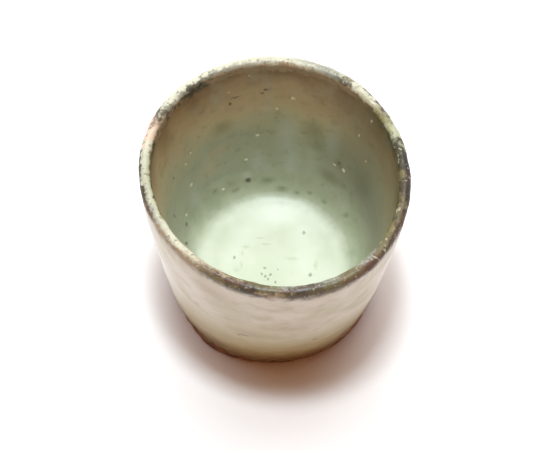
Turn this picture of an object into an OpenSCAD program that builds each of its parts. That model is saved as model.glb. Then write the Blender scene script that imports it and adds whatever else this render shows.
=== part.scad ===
// Soba choko: a small tapered cup without a handle, thrown in stoneware.
// One clay body carries four glaze coats, and more glaze has pooled on its floor.
// Sizes are in millimetres. The cup's axis is Z, and its foot stands on Z = 0.

/* [Cup] */
// Outer diameter at the lip
rim_d = 80; // [66:1:110]
// Height from the foot to the top of the lip
height = 65; // [48:1:100]
// Outer diameter of the wall's line where it would meet the ground
base_d = 63; // [52:1:76]
// Outward bow of the wall at half height
belly = 1.1; // [0:0.1:3]

/* [Wall] */
// Thickness of the wall at the lip, with its glaze
lip_t = 3.4; // [2.4:0.1:6]
// Thickness of the wall at the level of the floor, with its glaze
heel_t = 5.5; // [3.5:0.1:8]
// Height of the floor inside, before the glaze pools on it
floor_z = 6.2; // [4.5:0.1:12]
// Radius between the wall and the floor inside
floor_fillet = 17; // [8:0.5:20]

/* [Foot] */
// Width of the ring that the cup stands on
foot_w = 6; // [3:0.5:12]
// Size of the bevel round the outside of the foot
foot_bevel = 0.4; // [0.2:0.1:1.6]
// Depth of the recess inside the foot ring
recess_h = 2; // [1:0.1:3]
// How much narrower the recess is at its ceiling than at the ground
recess_draft = 1; // [0.2:0.1:2]

/* [Glaze] */
// Thickness of the glaze coats
glaze_t = 0.5; // [0.3:0.05:0.8]
// Height of the bare clay below the outer glaze
bare_h = 2.4; // [1.8:0.1:5]
// Depth of the glaze that has pooled on the floor
pool_h = 2; // [0.8:0.1:4]
// Reach of the rim's glaze down the outside, from the top of the lip
rim_out = 6; // [4:0.5:12]
// Reach of the rim's glaze down the inside, from the top of the lip
rim_in = 5; // [4:0.5:12]

/* [Hidden] */
$fn = 180;
// Number of straight steps along each stretch of the outline
wall_steps = 24;
band_steps = 4;
lip_steps = 8;
fillet_steps = 10;

// The lip is a half round as wide as the wall, and the wall's line runs up to its middle
lip_r = lip_t / 2;
lip_z = height - lip_r;

// Radius of the finished outside at a height, and the lean of the wall there
function wall_r(z) =
    let (u = z / lip_z)
    base_d / 2 + (rim_d - base_d) / 2 * u + 4 * belly * u * (1 - u);
function wall_lean(z) =
    let (u = z / lip_z)
    atan(((rim_d - base_d) / 2 + 4 * belly * (1 - 2 * u)) / lip_z);

// The half round is set square to the wall's lean
lip_lean = wall_lean(lip_z);
lip_x = wall_r(lip_z - lip_r * sin(lip_lean)) - lip_r * cos(lip_lean);

// Radius of the finished inside at a height: the wall thickens steadily from lip to floor
heel_growth = (heel_t - lip_t) / (lip_z - floor_z);
inner_top_z = lip_z + lip_r * sin(lip_lean);
inner_top_gap = wall_r(inner_top_z) - (lip_x - lip_r * cos(lip_lean));
function inner_r(z) = wall_r(z) - inner_top_gap - heel_growth * (inner_top_z - z);

// The fillet inside touches the wall and the floor
fillet_z = floor_z + floor_fillet;
fillet_lean = atan(tan(wall_lean(fillet_z)) + heel_growth);
fillet_top_z = fillet_z - floor_fillet * sin(fillet_lean);
fillet_x = inner_r(fillet_top_z) - floor_fillet * cos(fillet_lean);

// The pool's level surface meets the fillet at this angle below the horizontal
pool_z = floor_z + pool_h;
pool_angle = asin((floor_fillet - pool_h) / floor_fillet);

// Foot ring: its bare side stands straight below the glaze, and its flat face ends at the recess
foot_side_r = wall_r(bare_h) - glaze_t;
foot_out_r = foot_side_r - foot_bevel;
foot_in_r = foot_out_r - foot_w;
recess_r = foot_in_r - recess_draft;

// Points along a stretch of wall or an arc
function outer_points(z0, z1, n) = [for (i = [0:n]) let (z = z0 + (z1 - z0) * i / n) [wall_r(z), z]];
function inner_points(z0, z1, n) = [for (i = [0:n]) let (z = z0 + (z1 - z0) * i / n) [inner_r(z), z]];
function arc_points(x, z, r, a0, a1, n) =
    [for (i = [0:n]) let (a = a0 + (a1 - a0) * i / n) [x + r * cos(a), z + r * sin(a)]];
function tail(list) = [for (i = [1:len(list) - 1]) list[i]];
function part_of(list, first, last) = [for (i = [first:last]) list[i]];
function backwards(list) = [for (i = [len(list) - 1:-1:0]) list[i]];

// A line of points moved sideways, to its left as it runs; it starts and ends square to itself
function left_of(d) = [-d.y, d.x] / norm(d);
function moved_left(line, t) =
    let (last = len(line) - 1)
    [for (i = [0:last]) line[i] + t * left_of(line[min(i + 1, last)] - line[max(i - 1, 0)])];

// The finished outline, from the glaze's lower edge over the lip to the middle of the floor
outer_line = outer_points(bare_h, height - rim_out, wall_steps);
lip_line = concat(
    arc_points(lip_x, lip_z, lip_r, -lip_lean, 90, lip_steps),
    tail(arc_points(lip_x, lip_z, lip_r, 90, 180 - lip_lean, lip_steps)));
rim_line = concat(
    outer_points(height - rim_out, lip_z - lip_r * sin(lip_lean), band_steps),
    tail(lip_line),
    tail(inner_points(inner_top_z, height - rim_in, band_steps)));
inner_wall_line = inner_points(height - rim_in, fillet_top_z, wall_steps);
pool_bed_line = concat(
    arc_points(fillet_x, fillet_z, floor_fillet, -pool_angle, -90, fillet_steps),
    [[0, floor_z]]);
inner_line = concat(
    inner_wall_line,
    tail(arc_points(fillet_x, fillet_z, floor_fillet, -fillet_lean, -pool_angle, fillet_steps)),
    tail(pool_bed_line));
finished_line = concat(outer_line, tail(rim_line), tail(inner_line));
clay_line = moved_left(finished_line, glaze_t);

// Where one coat ends on the outline and the next begins
rim_first = len(outer_line) - 1;
rim_last = rim_first + len(rim_line) - 1;
line_last = len(finished_line) - 1;

// The clay under the glaze, and the bare foot below it
foot_line = [
    [0, recess_h],
    [recess_r, recess_h],
    [foot_in_r, 0],
    [foot_out_r, 0],
    [foot_side_r, foot_bevel],
];

// A coat between the finished outline and the clay, for one stretch of the outline
module coat(first, last) {
    rotate_extrude()
        polygon(concat(part_of(finished_line, first, last), backwards(part_of(clay_line, first, last))));
}

// Thrown wall and floor with the turned foot ring, all one clay
module clay_body() {
    color("#7d5a41")
        rotate_extrude()
            polygon(concat(foot_line, clay_line));
}

// Off-white coat on the outside, from above the bare foot to the rim's band
module outer_glaze() {
    color("#d6c9b6") coat(0, rim_first);
}

// Thin green coat inside, down the wall and across the floor
module inner_glaze() {
    color("#8b8a6c") coat(rim_last, line_last);
}

// Level pool of pale green glaze, lying on the coat of the floor and its fillet
module glaze_pool() {
    color("#e3ead2")
        rotate_extrude()
            polygon(concat(pool_bed_line, [[0, pool_z]]));
}

// Brown and olive band over the lip, between the outer coat and the inner one
module rim_glaze() {
    color("#6e5a37") coat(rim_first, rim_last);
}

// Coat on the ceiling of the recess under the cup
module base_glaze() {
    edge_z = recess_h - glaze_t;
    edge_r = recess_r + recess_draft * glaze_t / recess_h;
    color("#c9bda5")
        rotate_extrude()
            polygon([[0, edge_z], [edge_r, edge_z], [recess_r, recess_h], [0, recess_h]]);
}

clay_body();
outer_glaze();
inner_glaze();
glaze_pool();
rim_glaze();
base_glaze();
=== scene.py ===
"""Soba choko: the hand-thrown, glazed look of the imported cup, on a white table and seen from above."""
import math
from collections import namedtuple

import bmesh
import bpy
from mathutils import Matrix, Vector, noise


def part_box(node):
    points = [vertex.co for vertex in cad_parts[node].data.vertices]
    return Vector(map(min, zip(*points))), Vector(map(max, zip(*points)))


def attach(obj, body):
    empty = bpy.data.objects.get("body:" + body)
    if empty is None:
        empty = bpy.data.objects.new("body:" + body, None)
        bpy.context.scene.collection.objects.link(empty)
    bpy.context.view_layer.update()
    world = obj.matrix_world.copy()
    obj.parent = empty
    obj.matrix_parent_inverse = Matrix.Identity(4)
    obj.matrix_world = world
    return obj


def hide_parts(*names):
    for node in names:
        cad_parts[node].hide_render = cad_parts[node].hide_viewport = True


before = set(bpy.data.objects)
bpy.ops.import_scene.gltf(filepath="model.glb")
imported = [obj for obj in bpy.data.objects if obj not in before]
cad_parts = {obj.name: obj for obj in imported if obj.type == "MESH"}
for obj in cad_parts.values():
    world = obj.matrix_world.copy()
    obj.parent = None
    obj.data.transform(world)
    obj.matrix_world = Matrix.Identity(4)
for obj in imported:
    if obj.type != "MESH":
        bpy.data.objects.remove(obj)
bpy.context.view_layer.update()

MM = 0.001


# Sizes of the cup in millimetres, read from the frame


def box_mm(node):
    low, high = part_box(node)
    return low / MM, high / MM


rim_low, rim_high = box_mm("rim_glaze")
base_low, base_high = box_mm("base_glaze")
HEIGHT = rim_high.z
RIM_R = rim_high.x
RIM_LOW_Z = rim_low.z
INNER_COAT_TOP = box_mm("inner_glaze")[1].z
BARE_H = box_mm("outer_glaze")[0].z
FLOOR_Z = box_mm("glaze_pool")[0].z
RECESS_H = base_high.z
GLAZE_T = base_high.z - base_low.z

# Sizes of the cup in millimetres that no box gives
BASE_R = 31.5
BELLY = 1.1
LIP_T = 3.4
HEEL_T = 5.5
FLOOR_FILLET = 17.0
FOOT_W = 6.0
FOOT_BEVEL = 0.4
RECESS_DRAFT = 1.0

# How fine the pieces are: steps round the cup, millimetres between points along the outline, and one
# point in how many a hidden side keeps
TURN_STEPS = 360
WALL_STEP = 0.75
RIM_STEP = 0.4
HIDDEN_SKIP = 4
# Edges that turn by more than this stay crisp
CRISP_EDGE = math.radians(40)


# The outline of the cup, as the potter's rib would cut it

LIP_R = LIP_T / 2
LIP_Z = HEIGHT - LIP_R


def wall_r(z):
    u = z / LIP_Z
    return BASE_R + (RIM_R - BASE_R) * u + 4 * BELLY * u * (1 - u)


def wall_lean(z):
    return math.atan(((RIM_R - BASE_R) + 4 * BELLY * (1 - 2 * z / LIP_Z)) / LIP_Z)


LIP_LEAN = wall_lean(LIP_Z)
LIP_X = wall_r(LIP_Z - LIP_R * math.sin(LIP_LEAN)) - LIP_R * math.cos(LIP_LEAN)
HEEL_GROWTH = (HEEL_T - LIP_T) / (LIP_Z - FLOOR_Z)
INSIDE_TOP_Z = LIP_Z + LIP_R * math.sin(LIP_LEAN)
INSIDE_TOP_GAP = wall_r(INSIDE_TOP_Z) - (LIP_X - LIP_R * math.cos(LIP_LEAN))


def inner_wall_r(z):
    return wall_r(z) - INSIDE_TOP_GAP - HEEL_GROWTH * (INSIDE_TOP_Z - z)


FILLET_Z = FLOOR_Z + FLOOR_FILLET
FILLET_LEAN = math.atan(math.tan(wall_lean(FILLET_Z)) + HEEL_GROWTH)
FILLET_TOP_Z = FILLET_Z - FLOOR_FILLET * math.sin(FILLET_LEAN)
FILLET_X = inner_wall_r(FILLET_TOP_Z) - FLOOR_FILLET * math.cos(FILLET_LEAN)


def inner_r(z):
    """Radius of the inside at a height, down the wall and then round the fillet."""
    if z >= FILLET_TOP_Z:
        return inner_wall_r(z)
    return FILLET_X + math.sqrt(FLOOR_FILLET ** 2 - (FILLET_Z - z) ** 2)


def along_wall(radius, z0, z1, step):
    count = max(2, round(abs(z1 - z0) / step))
    heights = [z0 + (z1 - z0) * i / count for i in range(count + 1)]
    return [(radius(z), z) for z in heights]


def along_arc(x, z, r, start, end, step):
    count = max(2, round(r * abs(end - start) / step))
    angles = [start + (end - start) * i / count for i in range(count + 1)]
    return [(x + r * math.cos(a), z + r * math.sin(a)) for a in angles]


def across_floor(r0, r1, z, step):
    count = max(2, round(abs(r1 - r0) / step))
    return [(r0 + (r1 - r0) * i / count, z) for i in range(count + 1)]


# A point of an outline: its place, the way out of the clay there, and its run in millimetres from the
# top of the lip, which is below zero outside the cup and above zero inside
Spot = namedtuple("Spot", "r z out_r out_z run")
# The run given to points below the outer glaze, which that outline leaves out
FOOT_RUN = -80.0


def spots_along(line, crest=0):
    """The points of a line with their outward directions; runs start from the point numbered crest."""
    runs = [0.0]
    for (r0, z0), (r1, z1) in zip(line, line[1:]):
        runs.append(runs[-1] + math.hypot(r1 - r0, z1 - z0))
    spots = []
    for i, (r, z) in enumerate(line):
        (r0, z0), (r1, z1) = line[max(i - 1, 0)], line[min(i + 1, len(line) - 1)]
        length = math.hypot(r1 - r0, z1 - z0)
        spots.append(Spot(r, z, (z1 - z0) / length, (r0 - r1) / length, runs[i] - runs[crest]))
    return spots


def sunk(spots, depth):
    return [s._replace(r=max(0.0, s.r - depth * s.out_r), z=s.z - depth * s.out_z) for s in spots]


outside = along_wall(wall_r, BARE_H, RIM_LOW_Z, WALL_STEP)
shoulder = along_wall(wall_r, RIM_LOW_Z, LIP_Z - LIP_R * math.sin(LIP_LEAN), RIM_STEP)[1:]
lip_up = along_arc(LIP_X, LIP_Z, LIP_R, -LIP_LEAN, math.pi / 2, RIM_STEP / 2)[1:]
lip_down = along_arc(LIP_X, LIP_Z, LIP_R, math.pi / 2, math.pi - LIP_LEAN, RIM_STEP / 2)[1:]
throat = along_wall(inner_r, INSIDE_TOP_Z, INNER_COAT_TOP, RIM_STEP)[1:]
inside = along_wall(inner_r, INNER_COAT_TOP, FILLET_TOP_Z, WALL_STEP)[1:]
fillet = along_arc(FILLET_X, FILLET_Z, FLOOR_FILLET, -FILLET_LEAN, -math.pi / 2, WALL_STEP)[1:]
floor_run = across_floor(FILLET_X, 0.0, FLOOR_Z, WALL_STEP)[1:]

rim_first = len(outside) - 1
crest = rim_first + len(shoulder) + len(lip_up)
rim_last = crest + len(lip_down) + len(throat)
fillet_first = rim_last + len(inside)
outer_line = outside + shoulder + lip_up
inner_line = lip_down + throat + inside + fillet + floor_run
finished = spots_along(outer_line + inner_line, crest)
clay_face = sunk(finished, GLAZE_T)


# The hand of the thrower

# Millimetres by which the rim is wider along its long way and narrower across it, and a three-sided pull
OVAL, OVAL_AT = 1.14, math.radians(-58.2)
THREE_SIDED, THREE_SIDED_AT = -0.38, math.radians(-3.5)

# Where the foot swells: millimetres, direction and width in degrees; and how far up the wall that fades
FOOT_SWELLS = [(1.2, -124, 19), (0.5, -35, 22)]
SWELL_REACH = 6.5

# The slight bead at the outer glaze's lower edge and its height up the wall, in millimetres
BEAD, BEAD_HIGH = 0.14, 1.1

# How far the ragged foot goes in and out, and the heights where that starts and is full, in millimetres
RAGGED = 0.6
RAGGED_TOP, RAGGED_FULL = 6, 2

# Heights where the lines of the trimming tool start and are full, in millimetres
TRIM_TOP, TRIM_FULL = 30, 18

# Runs from the top of the lip where a wall's own unevenness starts and is full, in millimetres
WALL_STARTS, WALL_FULL = 4, 10


def smooth_step(low, high, value):
    t = min(1.0, max(0.0, (value - low) / (high - low)))
    return t * t * (3 - 2 * t)


def ripple(place, size, seed=0.0):
    """Smooth ups and downs from -1 to 1 that are about size millimetres across."""
    return noise.noise(place / size + Vector((seed, 2 * seed, -seed)))


def rings(place, pitch, seed=0.0):
    """Ups and downs that run level round the cup, changing slowly, about pitch millimetres apart."""
    turn = Vector((place.x, place.y, 0)).normalized() * 0.7
    return noise.noise(Vector((turn.x + seed, turn.y, place.z / pitch)))


def bumps(place, places):
    """The sum of soft bumps round the cup; each has its size, direction and width in degrees."""
    total = 0.0
    for size, direction, width in places:
        away = (math.degrees(math.atan2(place.y, place.x)) - direction + 180) % 360 - 180
        total += size * math.exp(-(away / width) ** 2)
    return total


def relief(place, run):
    """How far out the fingers, the trimming tool and the fire left the surface, in millimetres.

    Each swing in millimetres stands before its ups and downs, which have their own width.
    """
    outer = smooth_step(-WALL_STARTS, -WALL_FULL, run)
    inner = smooth_step(WALL_STARTS, WALL_FULL, run)
    trimmed = smooth_step(TRIM_TOP, TRIM_FULL, place.z)
    wall = 0.34 * ripple(place, 21) + 0.10 * ripple(place, 7, 3) + 0.11 * rings(place, 4.2)
    wall += 0.10 * trimmed * rings(place, 1.5, 5)
    wall += BEAD * math.exp(-((place.z - BARE_H) / BEAD_HIGH) ** 2)
    wall += RAGGED * smooth_step(RAGGED_TOP, RAGGED_FULL, place.z) * ripple(place, 2.6, 13)
    uneven = 0.2 + 0.8 * smooth_step(FILLET_X, inner_r(FILLET_TOP_Z), math.hypot(place.x, place.y))
    hollow = 0.22 * ripple(place, 17, 9) + 0.07 * ripple(place, 5, 7) + 0.06 * rings(place, 3.4, 11)
    lip = 0.22 * ripple(place, 5.5, 4) + 0.12 * ripple(place, 1.9, 6)
    return outer * wall + inner * uneven * hollow + (1 - outer - inner) * lip


def pulled(place):
    """A place on the true round, moved with the uneven pull of the rim and the swelling of the foot."""
    turn = math.atan2(place.y, place.x)
    pull = OVAL * math.cos(2 * (turn - OVAL_AT)) + THREE_SIDED * math.cos(3 * (turn - THREE_SIDED_AT))
    swell = bumps(place, FOOT_SWELLS) * smooth_step(SWELL_REACH, 0, place.z)
    grow = 1 + pull / RIM_R * place.z / HEIGHT + swell / BASE_R
    return Vector((place.x * grow, place.y * grow, place.z))


def spun(name, spots, closed, settle=None):
    """A piece turned from its outline, then moved as hand and fire did; settle moves a place first."""
    shape = bmesh.new()
    run = shape.verts.layers.float.new("run")
    out_r = shape.verts.layers.float.new("out_r")
    out_z = shape.verts.layers.float.new("out_z")
    line = []
    for spot in spots:
        vert = shape.verts.new((spot.r * MM, 0, spot.z * MM))
        vert[run], vert[out_r], vert[out_z] = spot.run, spot.out_r, spot.out_z
        line.append(vert)
    ends = line[1:] + line[:1] if closed else line[1:]
    for start, end in zip(line, ends):
        shape.edges.new((start, end))
    bmesh.ops.spin(
        shape, geom=shape.verts[:] + shape.edges[:], cent=(0, 0, 0), axis=(0, 0, 1), dvec=(0, 0, 0),
        angle=2 * math.pi, steps=TURN_STEPS, use_merge=True)
    bmesh.ops.remove_doubles(shape, verts=shape.verts[:], dist=0.01 * MM)
    bmesh.ops.recalc_face_normals(shape, faces=shape.faces[:])
    for vert in shape.verts:
        place = vert.co / MM
        flat = Vector((place.x, place.y, 0)).normalized()
        way_out = flat * vert[out_r] + Vector((0, 0, vert[out_z]))
        amount = relief(place, vert[run])
        if settle:
            place = settle(place)
        vert.co = pulled(place + way_out * amount) * MM
    shape.verts.layers.float.remove(shape.verts.layers.float["out_r"])
    shape.verts.layers.float.remove(shape.verts.layers.float["out_z"])
    mesh = bpy.data.meshes.new(name)
    shape.to_mesh(mesh)
    shape.free()
    mesh.shade_smooth()
    mesh.set_sharp_from_angle(angle=CRISP_EDGE)
    piece = bpy.data.objects.new(name, mesh)
    bpy.context.scene.collection.objects.link(piece)
    return piece


def thinned(spots):
    """A hidden side of a piece, with fewer points but the same ends."""
    return spots[:-1:HIDDEN_SKIP] + spots[-1:]


def coat(name, first, last, settle=None):
    """A glaze coat between the finished outline and the clay, for one stretch of the outline."""
    skin = finished[first:last + 1]
    return spun(name, skin + thinned(clay_face[first:last + 1])[::-1], True, settle)


# Pieces

# The outer glaze ran to an uneven edge over the foot: its waver, how far up the wall that fades and the
# lowest that it comes, in millimetres; and where it stays higher, as millimetres, direction and width in
# degrees
EDGE_WAVER = 1.7
EDGE_REACH = 9.0
EDGE_LOWEST = 1.0
EDGE_RISES = [(3.3, -140, 25), (3.8, -33, 20)]


def ran_to_edge(place):
    turn = Vector((place.x, place.y, 0)).normalized()
    waver = 0.5 * noise.noise(turn * 2.2) + 0.8 * noise.noise(turn * 7.0) + 0.4 * noise.noise(turn * 19.0)
    near_edge = 1 - smooth_step(BARE_H, BARE_H + EDGE_REACH, place.z)
    z = place.z + near_edge * max(EDGE_WAVER * waver + bumps(place, EDGE_RISES), EDGE_LOWEST - BARE_H)
    return Vector((place.x, place.y, 0)) * (wall_r(z) / wall_r(place.z)) + Vector((0, 0, z))


def make_outer_glaze():
    return coat("outer_glaze_coat", 0, rim_first, ran_to_edge)


def make_rim_glaze():
    return coat("rim_glaze_band", rim_first, rim_last)


def make_inner_glaze():
    skin = finished[rim_last:]
    return spun("inner_glaze_coat", skin[::-1] + thinned(clay_face[rim_last:]), False)


# The pool set as a shallow dish: its depth in the middle, the radius of its flat middle and the roundness
# beyond, the radii between which it thins out up the fillet, and how far it then lies in the coat
POOL_DEEP = 0.9
POOL_FLAT, POOL_ROUND = 9.3, 33.6
POOL_THINS, POOL_ENDS = 19.0, 27.5
POOL_BITE = 0.15


def pool_top(spot):
    dish = FLOOR_Z + POOL_DEEP + max(0.0, spot.r - POOL_FLAT) ** 2 / (2 * POOL_ROUND)
    share = smooth_step(POOL_ENDS, POOL_THINS, spot.r)
    return spot._replace(z=share * dish + (1 - share) * (spot.z - POOL_BITE))


def make_glaze_pool():
    bed = [s for s in finished[fillet_first:] if s.r < POOL_ENDS]
    top = [pool_top(spot) for spot in bed]
    return spun("glaze_pool_surface", top[::-1] + thinned(sunk(bed, 2 * POOL_BITE)), False)


def make_clay_body():
    side_r = wall_r(BARE_H) - GLAZE_T
    foot_out = side_r - FOOT_BEVEL
    foot_in = foot_out - FOOT_W
    under = across_floor(0.0, foot_in - RECESS_DRAFT, RECESS_H, 2 * WALL_STEP)
    ring = [(foot_in, 0.0), (foot_in + FOOT_W / 2, 0.0), (foot_out, 0.0)]
    flat_spots = [Spot(r, z, 0.0, 0.0, FOOT_RUN) for r, z in under + ring]
    bevel = (foot_out + 0.7 * FOOT_BEVEL, 0.3 * FOOT_BEVEL)
    side_line = [bevel] + along_wall(lambda z: side_r, FOOT_BEVEL, BARE_H, RIM_STEP)[:-1]
    # The bare side takes half of the unevenness, straight outwards
    side = [s._replace(out_r=0.5, out_z=0.0, run=FOOT_RUN) for s in spots_along(side_line)]
    return spun("clay_body_thrown", flat_spots + side + clay_face[::2] + clay_face[-1:], False)


def make_base_glaze():
    edge_z = RECESS_H - GLAZE_T
    ceiling_r = wall_r(BARE_H) - GLAZE_T - FOOT_BEVEL - FOOT_W - RECESS_DRAFT
    edge_r = ceiling_r + RECESS_DRAFT * GLAZE_T / RECESS_H
    line = across_floor(0.0, edge_r, edge_z, WALL_STEP)
    line += across_floor(ceiling_r, 0.0, RECESS_H, 3 * WALL_STEP)
    return spun("base_glaze_coat", [Spot(r, z, 0.0, 0.0, FOOT_RUN) for r, z in line], False)


# Materials

# The colour sockets of a Mix node
MIX_A, MIX_B, MIX_OUT = 6, 7, 2


def linear(code):
    """An sRGB hex colour as the linear colour that shaders use."""
    parts = [int(code[i:i + 2], 16) / 255 for i in (1, 3, 5)]
    return [c / 12.92 if c <= 0.04045 else ((c + 0.055) / 1.055) ** 2.4 for c in parts] + [1.0]


def per_mm(size):
    """The texture scale at which a feature is about size millimetres wide."""
    return 1 / (size * MM)


def add(tree, kind, feeds, out=0, stops=None, **settings):
    """Adds a node with its settings, stops and feeds (values or links) and gives back one output."""
    node = tree.nodes.new("ShaderNode" + kind)
    for name, value in settings.items():
        setattr(node, name, value)
    if stops:
        for position, _ in stops[:-2]:
            node.color_ramp.elements.new(position)
        for element, stop in zip(node.color_ramp.elements, stops):
            element.position, element.color = stop
    feed(tree, node, feeds)
    return node.outputs[out]


def feed(tree, node, feeds):
    for socket, value in feeds.items():
        if isinstance(value, bpy.types.NodeSocket):
            tree.links.new(value, node.inputs[socket])
        else:
            node.inputs[socket].default_value = value


# What a glaze's colour follows: the place, the same place frayed by fine noise, the run over the lip and
# the height in millimetres, and the clock angle in degrees from the back, clockwise from above
Feel = namedtuple("Feel", "tree place frayed run height clock")


def feel(material):
    tree = material.node_tree
    place = add(tree, "TexCoord", {}, out="Object")
    parts = add(tree, "SeparateXYZ", {0: place}).node.outputs
    turn = add(tree, "Math", {0: parts["Y"], 1: parts["X"]}, operation="ARCTAN2")
    clock = add(tree, "Math", {0: turn, 1: -180 / math.pi, 2: 450.0}, operation="MULTIPLY_ADD")
    clock = add(tree, "Math", {0: clock, 1: 360.0}, operation="MODULO")
    run = add(tree, "Attribute", {}, out="Fac", attribute_name="run")
    height = add(tree, "Math", {0: parts["Z"], 1: 1 / MM}, operation="MULTIPLY")
    fray = add(tree, "TexNoise", {"Vector": place, "Scale": per_mm(1.3), "Detail": 2.0}, out="Color")
    fray = add(tree, "VectorMath", {0: fray, 1: (0.5, 0.5, 0.5)}, operation="SUBTRACT")
    frayed = add(tree, "VectorMath", {0: fray, 1: (MM, MM, MM), 2: place}, operation="MULTIPLY_ADD")
    return Feel(tree, place, frayed, run, height, clock)


def mottle(at, size, detail=3.0, rough=0.55, stretch=(1, 1, 1), seed=0.0):
    """Cloudy noise from 0 to 1 about size millimetres wide; stretch squeezes it along the axes."""
    place = add(at.tree, "Mapping", {"Vector": at.place, "Location": [seed] * 3, "Scale": stretch})
    feeds = {"Vector": place, "Scale": per_mm(size), "Detail": detail, "Roughness": rough}
    return add(at.tree, "TexNoise", feeds)


def wavering(at, value, amount, size, **pattern):
    """A value that wanders up and down by an amount, in clouds of a size in millimetres."""
    swing = add(at.tree, "Math", {0: mottle(at, size, **pattern), 1: 0.5}, operation="SUBTRACT")
    return add(at.tree, "Math", {0: swing, 1: 2.0 * amount, 2: value}, operation="MULTIPLY_ADD")


def tones_along(at, value, tones):
    """Tones that blend from one to the next as a value passes the number written with each."""
    first, last = tones[0][0], tones[-1][0]
    share = add(at.tree, "MapRange", {"Value": value, "From Min": first, "From Max": last})
    stops = [((number - first) / (last - first), linear(code)) for number, code in tones]
    return add(at.tree, "ValToRGB", {0: share}, stops=stops)


def layer(at, tone, colour, *masks, strength=1.0):
    """A tone with a colour laid over it. A mask is a value, where it starts and where it is full."""
    for value, start, full in masks:
        feeds = {"Value": value, "From Min": start, "From Max": full, "To Max": strength}
        strength = add(at.tree, "MapRange", feeds, interpolation_type="SMOOTHSTEP")
    tone, colour = [linear(c) if isinstance(c, str) else c for c in (tone, colour)]
    return add(at.tree, "Mix", {0: strength, MIX_A: tone, MIX_B: colour}, out=MIX_OUT, data_type="RGBA")


# A nearness that is outside every mark, and a width that takes in every height, in millimetres
FAR_AWAY = 9.0
ANY_HEIGHT = 99.0


def nearness(at, spots):
    """How near the nearest mark is: 0 in its middle, 1 at its edge. A spot is a middle and its widths."""
    nearest = FAR_AWAY
    for middle, widths in spots:
        squeeze = Vector([2 / width for width in widths])
        feeds = {0: at.frayed, 1: squeeze / MM, 2: -middle * squeeze}
        away = add(at.tree, "VectorMath", feeds, operation="MULTIPLY_ADD")
        away = add(at.tree, "VectorMath", {0: away}, out="Value", operation="LENGTH")
        nearest = add(at.tree, "Math", {0: nearest, 1: away}, operation="MINIMUM")
    return nearest


def on_wall(at, radius, marks):
    """Nearness of marks on a wall: clock angle, height, width round the wall and length up it."""
    spots = []
    for clock, z, wide, tall in marks:
        turn = math.radians(90 - clock)
        middle = pulled(Vector((radius(z) * math.cos(turn), radius(z) * math.sin(turn), z)))
        spots.append((middle, (wide, wide, tall)))
    return nearness(at, spots)


def on_floor(at, marks):
    """Nearness of marks on the floor inside, each given as x, y and the widths along both."""
    spots = [(Vector((x, y, FLOOR_Z)), (wide, deep, ANY_HEIGHT)) for x, y, wide, deep in marks]
    return nearness(at, spots)


def new_material(name):
    material = bpy.data.materials.new(name)
    material.use_nodes = True
    return material


def finish_material(at, colour, roughness, bump, bump_mm):
    """Joins the colour, the roughness and a fine surface to the shader."""
    normal = add(at.tree, "Bump", {"Height": bump, "Distance": bump_mm * MM, "Strength": 1.0})
    feeds = {"Base Color": colour, "Roughness": roughness, "Normal": normal, "IOR": 1.5}
    feed(at.tree, at.tree.nodes["Principled BSDF"], feeds)


# Tones of the outer glaze by height in millimetres, where it thins and stains towards the foot
FOOT_STAIN = [
    (0, "#74502a"), (3, "#74512b"), (6.5, "#826136"), (11, "#a38d5e"), (18, "#bcae86"),
    (26, "#cac3a4"), (40, "#d0cab1"),
]
# The same on the side where the thicker glaze stayed clean
CLEAN_HEEL = [
    (0, "#7a6342"), (5, "#7a6342"), (9, "#8e7955"), (14, "#b6a883"), (26, "#cac3a4"), (40, "#d0cab1"),
]
# Clock angles where that side starts and is full, and where it ends and is still full
CLEAN_FROM, CLEAN_TO = (196, 216), (300, 260)

# Marks on the outside: clock angle from the back in degrees, height, width and length up the wall in mm
# Painted sheen: the left and right sides of the outside are paler where light from the sides falls on
# them
OUTER_PAINTED_SHEEN = [(256, 34, 44, 84), (104, 36, 44, 84)]
# Painted shade: under the rim on the left and in patches lower on the front
OUTER_PAINTED_SHADE = [(206, 54, 20, 16), (168, 40, 26, 12), (186, 30, 30, 8), (140, 22, 22, 10)]
OUTER_SPECKS = [
    (193, 27.7, 4.0, 1.0), (195.5, 26.6, 2.2, 0.8), (217.1, 36.3, 2.6, 0.9), (158.5, 22.2, 2.4, 1.8),
]


def outer_tone(at):
    """Off-white glaze over brown clay: soft pale and beige clouds, brown where it thins at the foot,
    painted sheen on the left and right sides and painted shade under the rim.
    """
    height = wavering(at, at.height, 4.0, 6, seed=0.7)
    clean = tones_along(at, height, CLEAN_HEEL)
    stained = tones_along(at, height, FOOT_STAIN)
    tone = layer(at, stained, clean, (at.clock, *CLEAN_FROM), (at.clock, *CLEAN_TO))
    upper = (at.height, 20.0, 42.0)
    tone = layer(at, tone, "#e0d9ca", (mottle(at, 15), 0.42, 0.62), upper)
    drift = mottle(at, 11, stretch=(1, 1, 1.9), seed=0.3)
    tone = layer(at, tone, "#bfb696", (drift, 0.46, 0.7), (at.height, 14.0, 36.0), strength=0.65)
    lines = mottle(at, 1.5, stretch=(0.05, 0.05, 1), seed=0.1)
    tone = layer(at, tone, "#94804f", (lines, 0.55, 0.72), (at.height, 30.0, 14.0), strength=0.5)
    # Painted sheen, paler on the left and right sides
    pale = wavering(at, on_wall(at, wall_r, OUTER_PAINTED_SHEEN), 0.4, 9, detail=4.0, seed=0.5)
    tone = layer(at, tone, "#f1eeeb", (pale, 1.0, 0.1), strength=0.85)
    # Painted shade under the rim on the left and lower on the front
    tone = layer(at, tone, "#b5a582", (on_wall(at, wall_r, OUTER_PAINTED_SHADE), 1.0, 0.1), strength=0.4)
    return layer(at, tone, "#5b4c38", (on_wall(at, wall_r, OUTER_SPECKS), 1.0, 0.4), strength=0.65)


# Tones of the thin inner glaze by height in millimetres, and of the glaze that ran together on the floor
INNER_WALL = [
    (8, "#9da98c"), (14, "#989f83"), (20, "#a6ab96"), (32, "#a3a78d"), (44, "#c3b68e"), (52, "#bfa67e"),
    (61, "#8f7048"),
]
MINT, MINT_WHITE = "#dae3cb", "#e3ebd7"

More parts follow.
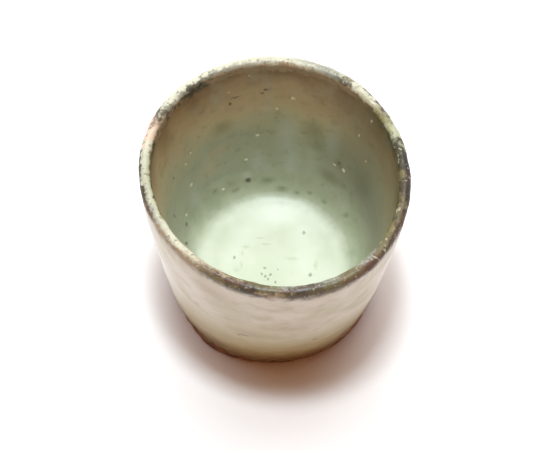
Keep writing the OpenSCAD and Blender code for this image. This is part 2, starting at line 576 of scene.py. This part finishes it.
# Marks inside: clock angle from the back in degrees, height, width and length up the wall in millimetres
PALE_RUNS = [
    (6, 33, 11, 30), (9, 21, 9, 20), (32, 37, 7, 24), (303, 19, 8, 12), (341.5, 15.7, 6, 5),
    (349, 21, 8, 14),
]
OLIVE_PATCHES = [
    (20, 37, 12, 18), (24, 31, 9, 10), (35, 20, 13, 9), (39, 28, 6, 6), (330, 40, 12, 10),
    (60, 30, 14, 18),
]
TAN_CLOUDS = [(319, 26, 14, 13), (325, 31, 16, 8), (347, 46, 24, 12), (300, 43, 14, 18)]
EDGE_SMUDGES = [
    (354.8, 13.1, 7.5, 3.0), (4.7, 11.0, 7.0, 2.4), (16.7, 10.8, 3.0, 1.6), (25.3, 11.7, 3.0, 1.6),
    (37.6, 11.6, 3.4, 2.0), (57.6, 13.4, 2.6, 5.0), (331.4, 12.3, 5.0, 2.0), (317.6, 15.3, 4.0, 2.6),
    (46, 21.3, 3.0, 3.4), (72, 43.9, 3.4, 3.6),
]
CREAM_SPECKS = [
    (7.7, 49.7, 1.9, 1.9), (359.8, 43.9, 1.5, 1.4), (303.3, 25.6, 2.0, 2.2), (43, 27.2, 1.8, 2.4),
    (36.4, 26.7, 2.2, 1.0), (56.3, 40.5, 1.2, 1.6), (349.3, 32.1, 1.8, 1.6), (342, 21.9, 1.8, 1.6),
    (308.8, 38.3, 1.2, 1.2), (303.8, 35.9, 1.0, 1.6), (323.5, 14.3, 1.6, 1.4), (335.9, 54.7, 1.2, 1.0),
    (346.2, 59.8, 0.9, 0.9), (53, 58.9, 0.9, 2.4), (46.9, 47.5, 0.8, 1.8), (290.8, 18.2, 1.4, 1.6),
]
DARK_SPECKS = [
    (341.6, 13.9, 2.9, 2.2), (292, 37.4, 1.5, 1.9), (335.9, 49.3, 1.6, 2.0), (354, 52.8, 2.0, 1.6),
    (352.4, 51.2, 1.6, 1.2), (339.2, 51.4, 3.6, 0.8), (280, 26.3, 1.1, 4.6), (286.7, 16, 1.6, 2.4),
    (275.4, 13.8, 1.8, 2.6), (39.1, 28.9, 1.8, 1.4),
]

# Marks on the pool, and the patch of pale mint itself: x, y and the widths along both, in millimetres
MINT_PATCH = [(-0.9, -2.0, 51.8, 50.6)]
POOL_DOTS = [
    (9.6, 11.1, 1.3, 1.6), (11.7, -3.9, 1.7, 2.0), (-12.4, 1.6, 1.2, 1.6), (-3.5, -4.0, 1.1, 1.2),
    (-2.3, -4.8, 1.3, 1.2), (-0.8, -4.1, 1.1, 1.3), (-2.6, -1.7, 1.5, 1.0), (0.9, -6.8, 1.2, 1.2),
    (-1.6, -5.8, 0.9, 1.4), (1.6, -2.2, 0.7, 1.0),
]
# Faint swirls on the pool; the last, broad one across the front of the pool is painted shade
POOL_SWIRLS_AND_FRONT_SHADE = [
    (-8.9, 5.6, 4.0, 1.6), (-9.9, 3.2, 1.6, 3.0), (-10.1, -1.1, 1.8, 5.0), (-4.6, 9.0, 5.0, 1.0),
    (-2.6, 6.9, 6.0, 1.2), (-11.5, -2.8, 4.0, 3.0), (6.0, 1.8, 7.0, 2.0), (13.5, -0.7, 2.0, 6.0),
    (0.0, -9.0, 44.0, 26.0),
]


def inner_tone(at):
    """Thin ash glaze: brown under the lip, then grey-green, and pale mint where it ran together."""
    tone = tones_along(at, wavering(at, at.height, 10.0, 13, seed=1.1), INNER_WALL)
    streaks = mottle(at, 6, stretch=(1, 1, 0.3), seed=0.4)
    tone = layer(at, tone, "#b3bca9", (streaks, 0.5, 0.75), strength=0.4)
    tone = layer(at, tone, "#75704e", (mottle(at, 3.2, seed=2.4), 0.52, 0.72), strength=0.3)
    tone = layer(at, tone, "#c4ad8d", (on_wall(at, inner_r, TAN_CLOUDS), 1.0, 0.0), strength=0.4)
    tone = layer(at, tone, "#bac3b9", (on_wall(at, inner_r, PALE_RUNS), 1.0, 0.0), strength=0.55)
    tone = layer(at, tone, "#6c683f", (on_wall(at, inner_r, OLIVE_PATCHES), 1.0, 0.0), strength=0.5)
    # The inside of the right-hand wall is darker
    right = [(at.clock, 14, 58), (at.clock, 162, 122), (at.height, 12, 30)]
    tone = layer(at, tone, "#594f30", *right, strength=0.6)
    mint = layer(at, MINT, MINT_WHITE, (mottle(at, 12, seed=0.2), 0.35, 0.65))
    # Faint swirls, and painted shade across the front of the pool
    mint = layer(at, mint, "#bcc4a3", (on_floor(at, POOL_SWIRLS_AND_FRONT_SHADE), 1.0, 0.0), strength=0.5)
    reach = wavering(at, on_floor(at, MINT_PATCH), 0.1, 5, detail=4.0)
    tone = layer(at, tone, "#b9c2aa", (reach, 1.3, 1.0), strength=0.55)
    tone = layer(at, tone, mint, (reach, 1.12, 0.82))
    tone = layer(at, tone, "#5f6b49", (on_wall(at, inner_r, EDGE_SMUDGES), 1.0, 0.0), strength=0.48)
    tone = layer(at, tone, "#f3ead6", (on_wall(at, inner_r, CREAM_SPECKS), 1.0, 0.3), strength=0.9)
    tone = layer(at, tone, "#2c2f1c", (on_wall(at, inner_r, DARK_SPECKS), 1.0, 0.3), strength=0.75)
    dots = on_floor(at, POOL_DOTS)
    return layer(at, tone, "#4a5038", (dots, 1.0, 0.4), (at.height, 12.0, 10.0), strength=0.55)


# Tones of the glaze that broke over the lip, and where each shows round the lip in four bands from
# outside to inside: clock degrees from the back, clockwise from above
CREAM, PALE, GREY_GREEN_AND_GLINTS, TAN, BEIGE = "#cccab2", "#b0b291", "#939485", "#ad987a", "#a08b6d"
YELLOW, OLIVE, DARK_OLIVE, IRON = "#7d7440", "#6a603a", "#3f3a22", "#4a3420"
RUST, BLACK_IRON, BLUSH, OCHRE = "#5c3721", "#21170e", "#dcbca4", "#75623a"
OUTER_SHOULDER = [
    (0, CREAM), (51, IRON), (59, IRON), (63, PALE), (71, PALE), (74, DARK_OLIVE), (80, BLACK_IRON),
    (100, BLACK_IRON), (112, IRON), (126, IRON), (140, RUST), (158, OLIVE), (167, IRON), (174, OLIVE),
    (180, TAN), (187, IRON), (193, DARK_OLIVE), (200, OCHRE), (207, OLIVE), (216, BEIGE), (240, BEIGE),
    (252, IRON), (262, DARK_OLIVE), (279, DARK_OLIVE), (280, PALE), (284, BLUSH), (293, BLUSH),
    (297, DARK_OLIVE), (300, DARK_OLIVE), (303, CREAM), (360, CREAM),
]
OUTER_TOP = [
    (0, CREAM), (22, GREY_GREEN_AND_GLINTS), (31, CREAM), (34, OLIVE), (38, CREAM), (49, CREAM), (55, OLIVE),
    (63, PALE), (71, PALE), (75, DARK_OLIVE), (83, BLACK_IRON), (92, IRON), (99, BLACK_IRON),
    (107, OLIVE), (116, IRON), (126, OLIVE), (136, RUST), (150, OLIVE), (169, BLACK_IRON), (176, RUST),
    (181, OLIVE), (187, BLACK_IRON), (195, RUST), (203, IRON), (214, BEIGE), (228, CREAM),
    (252, GREY_GREEN_AND_GLINTS), (281, CREAM), (288, BLUSH), (297, DARK_OLIVE), (302, CREAM), (360, CREAM),
]
# Its grey-green stops from clock 136 to 173 are painted glints along the front of the inner edge
INNER_TOP = [
    (0, TAN), (12, CREAM), (24, GREY_GREEN_AND_GLINTS), (34, DARK_OLIVE), (39, CREAM), (58, YELLOW), (67, PALE),
    (75, DARK_OLIVE), (86, DARK_OLIVE), (91, YELLOW), (94, DARK_OLIVE), (100, IRON), (105, YELLOW),
    (109, DARK_OLIVE), (117, YELLOW), (126, OLIVE), (136, GREY_GREEN_AND_GLINTS), (146, OLIVE), (156, GREY_GREEN_AND_GLINTS),
    (164, IRON), (173, GREY_GREEN_AND_GLINTS), (180, OLIVE), (190, OLIVE), (208, TAN), (226, CREAM), (270, PALE),
    (281, CREAM), (290, BLUSH), (298, DARK_OLIVE), (305, CREAM), (316, DARK_OLIVE), (360, CREAM),
]
INNER_SHOULDER = [
    (0, TAN), (30, TAN), (40, BEIGE), (52, OLIVE), (72, DARK_OLIVE), (90, OLIVE), (102, DARK_OLIVE),
    (120, OLIVE), (134, PALE), (160, GREY_GREEN_AND_GLINTS), (174, DARK_OLIVE), (200, DARK_OLIVE), (212, PALE),
    (232, TAN), (246, OLIVE), (256, DARK_OLIVE), (272, OLIVE), (281, DARK_OLIVE), (287, OLIVE),
    (292, TAN), (299, DARK_OLIVE), (306, TAN), (312, DARK_OLIVE), (322, DARK_OLIVE), (328, TAN),
    (360, TAN),
]
# Runs in millimetres from the top of the lip where each band starts and is full, and then the inner wall
LIP_STEPS = [(-5.8, -2.4), (-1.5, -0.6), (-0.2, 0.7), (1.3, 2.4), (3.4, 5.2)]


def stoneware_clay():
    """Bare stoneware, turned and fired: matt, gritty and brown, darker where iron burnt."""
    material = new_material("bare_fired_stoneware")
    at = feel(material)
    # Coarser than real grit, which is too fine to show
    grit = mottle(at, 0.7, detail=2.0)
    tone = layer(at, "#82532a", "#563117", (mottle(at, 4), 0.4, 0.65))
    tone = layer(at, tone, "#9a7448", (grit, 0.62, 0.75), strength=0.5)
    finish_material(at, tone, 0.85, grit, 0.15)
    return material


def off_white_glaze():
    """Satin feldspar glaze, dipped: warm off-white with soft clouds and a dull shine."""
    material = new_material("off_white_feldspar_glaze")
    at = feel(material)
    finish_material(at, outer_tone(at), wavering(at, 0.38, 0.15, 6, seed=0.9), mottle(at, 2.2), 0.06)
    return material


def iron_rim_glaze():
    """Glaze that broke over the lip: half glossy iron brown, olive and cream, in dark and pale spots,
    with painted glints along the front of the inner edge.
    """
    material = new_material("broken_iron_glaze")
    at = feel(material)
    broken = mottle(at, 2.4, detail=4.0, rough=0.6)
    clock = wavering(at, at.clock, 13.0, 2.6, detail=3.0, rough=0.6)
    run = wavering(at, at.run, 2.6, 2.0, detail=3.0, rough=0.6, seed=0.6)
    around = (OUTER_SHOULDER, OUTER_TOP, INNER_TOP, INNER_SHOULDER)
    bands = [tones_along(at, clock, band) for band in around]
    tone = outer_tone(at)
    for (start, full), band in zip(LIP_STEPS, bands + [inner_tone(at)]):
        tone = layer(at, tone, band, (run, start, full))
    on_lip = [(at.run, -4.0, -2.5), (at.run, 4.5, 2.8)]
    tone = layer(at, tone, DARK_OLIVE, (mottle(at, 1.3, seed=3.1), 0.57, 0.68), *on_lip, strength=0.55)
    tone = layer(at, tone, CREAM, (mottle(at, 1.2, seed=4.7), 0.6, 0.7), *on_lip, strength=0.6)
    finish_material(at, tone, wavering(at, 0.4, 0.15, 3, seed=1.7), broken, 0.25)
    return material


def ash_glaze():
    """Thin ash glaze, fired glossy: brown to grey-green, with pale runs and specks."""
    material = new_material("thin_ash_glaze")
    at = feel(material)
    finish_material(at, inner_tone(at), 0.3, mottle(at, 2.0), 0.06)
    return material


def pooled_ash_glaze():
    """Ash glaze that ran together: thick, opaque pale mint with a soft shine, greyer at its thin edge."""
    material = new_material("pooled_ash_glaze")
    at = feel(material)
    finish_material(at, inner_tone(at), 0.38, mottle(at, 5.0), 0.05)
    return material


def dress(piece, node, material):
    """Gives a piece its material and its place in the frame."""
    piece.data.materials.append(material)
    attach(piece, "root")
    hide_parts(node)


# Table, light and camera


def white_table():
    side = 6.0
    shape = bmesh.new()
    bmesh.ops.create_grid(shape, x_segments=1, y_segments=1, size=side / 2)
    mesh = bpy.data.meshes.new("white_table")
    shape.to_mesh(mesh)
    shape.free()
    table = bpy.data.objects.new("white_table", mesh)
    bpy.context.scene.collection.objects.link(table)
    material = new_material("matt_white_paper")
    at = feel(material)
    # Coarser than real fibres, which are too fine to show
    fibre = mottle(at, 1.5)
    finish_material(at, layer(at, "#fdfcfc", "#fefdfd", (fibre, 0.3, 0.7)), 0.9, fibre, 0.01)
    mesh.materials.append(material)


# Brightness and colour of the room straight behind the cup, of the bright ring round that, and of the dim
# rest of it, above and in front
ROOM_BEHIND = (0.7, 0.74, 0.77, 1.0)
ROOM_BRIGHT = (1.94, 2.03, 2.1, 1.0)
ROOM_DIM = (0.22, 0.072, 0.018, 1.0)
# The way to the front, and how far round towards it, as a cosine, the ring and then the dim part start
# and are full
ROOM_FRONT = (0.16, -0.987, 0.0)
ROOM_STEPS = [(-0.95, -0.7, ROOM_BRIGHT), (-0.6, -0.1, ROOM_DIM)]


# The spot that the lamps face, in metres
LAMP_AIM = Vector((0, 0, 0.03))


def softbox(name, size, depth, place, watts, colour):
    """A rectangular lamp; its size, depth and place are in metres."""
    lamp = bpy.data.lights.new(name, "AREA")
    lamp.shape = "RECTANGLE"
    lamp.size, lamp.size_y = size, depth
    lamp.energy = watts
    lamp.color = colour
    holder = bpy.data.objects.new(name, lamp)
    holder.location = place
    holder.rotation_euler = (LAMP_AIM - holder.location).to_track_quat("-Z", "Y").to_euler()
    bpy.context.scene.collection.objects.link(holder)


def soft_light():
    """A softbox overhead and a wide one behind it, in a room that is bright behind and dim in front."""
    softbox("softbox_overhead", 0.11, 0.15, (-0.02, 0.01, 0.95), 5.5, (0.85, 0.95, 1.0))
    softbox("softbox_behind", 0.6, 0.4, (0.02, 0.32, 0.9), 2.4, (1.0, 1.0, 1.0))
    world = bpy.data.worlds.new("room")
    world.use_nodes = True
    tree = world.node_tree
    direction = add(tree, "TexCoord", {}, out="Generated")
    front = add(tree, "VectorMath", {0: direction, 1: ROOM_FRONT}, out="Value", operation="DOT_PRODUCT")
    colour = ROOM_BEHIND
    for start, full, room in ROOM_STEPS:
        feeds = {"Value": front, "From Min": start, "From Max": full}
        share = add(tree, "MapRange", feeds, interpolation_type="SMOOTHSTEP")
        feeds = {0: share, MIX_A: colour, MIX_B: room}
        colour = add(tree, "Mix", feeds, out=MIX_OUT, data_type="RGBA")
    # Straight to the camera and in reflections the room is plain white
    rays = add(tree, "LightPath", {}).node.outputs
    seen = add(tree, "Math", {0: rays["Is Camera Ray"], 1: rays["Is Glossy Ray"]}, operation="MAXIMUM")
    seen = add(tree, "Math", {0: seen, 1: rays["Is Transmission Ray"]}, operation="MAXIMUM")
    feeds = {0: seen, MIX_A: colour, MIX_B: (1.0, 1.0, 1.0, 1.0)}
    colour = add(tree, "Mix", feeds, out=MIX_OUT, data_type="RGBA")
    feed(tree, tree.nodes["Background"], {"Color": colour})
    bpy.context.scene.world = world


# The photograph's view: its angle, its distance from the cup's middle and its lens in pixels of the frame
FRAME_W = 550
LENS_PX = 1800
VIEW_ELEVATION = math.radians(60.96)
VIEW_ROLL = math.radians(1.52)
VIEW_DISTANCE = 549.4
VIEW_MIDDLE_Z = 32.5
VIEW_SIDESTEP = (0.23, -0.2)


def photo_camera():
    lens = bpy.data.cameras.new("photo_view")
    lens.sensor_fit = "HORIZONTAL"
    lens.sensor_width = 36.0
    lens.lens = lens.sensor_width * LENS_PX / FRAME_W
    camera = bpy.data.objects.new("photo_view", lens)
    tilt = Matrix.Rotation(math.pi / 2 - VIEW_ELEVATION, 4, "X")
    eye = tilt @ Vector((*VIEW_SIDESTEP, VIEW_DISTANCE)) + Vector((0, 0, VIEW_MIDDLE_Z))
    camera.matrix_world = Matrix.Translation(eye * MM) @ tilt @ Matrix.Rotation(VIEW_ROLL, 4, "Z")
    bpy.context.scene.collection.objects.link(camera)
    bpy.context.scene.camera = camera


photo_camera()
white_table()
soft_light()
glaze = off_white_glaze()
dress(make_clay_body(), "clay_body", stoneware_clay())
dress(make_outer_glaze(), "outer_glaze", glaze)
dress(make_rim_glaze(), "rim_glaze", iron_rim_glaze())
dress(make_inner_glaze(), "inner_glaze", ash_glaze())
dress(make_glaze_pool(), "glaze_pool", pooled_ash_glaze())
dress(make_base_glaze(), "base_glaze", glaze)
bpy.context.scene.view_settings.view_transform = "Standard"
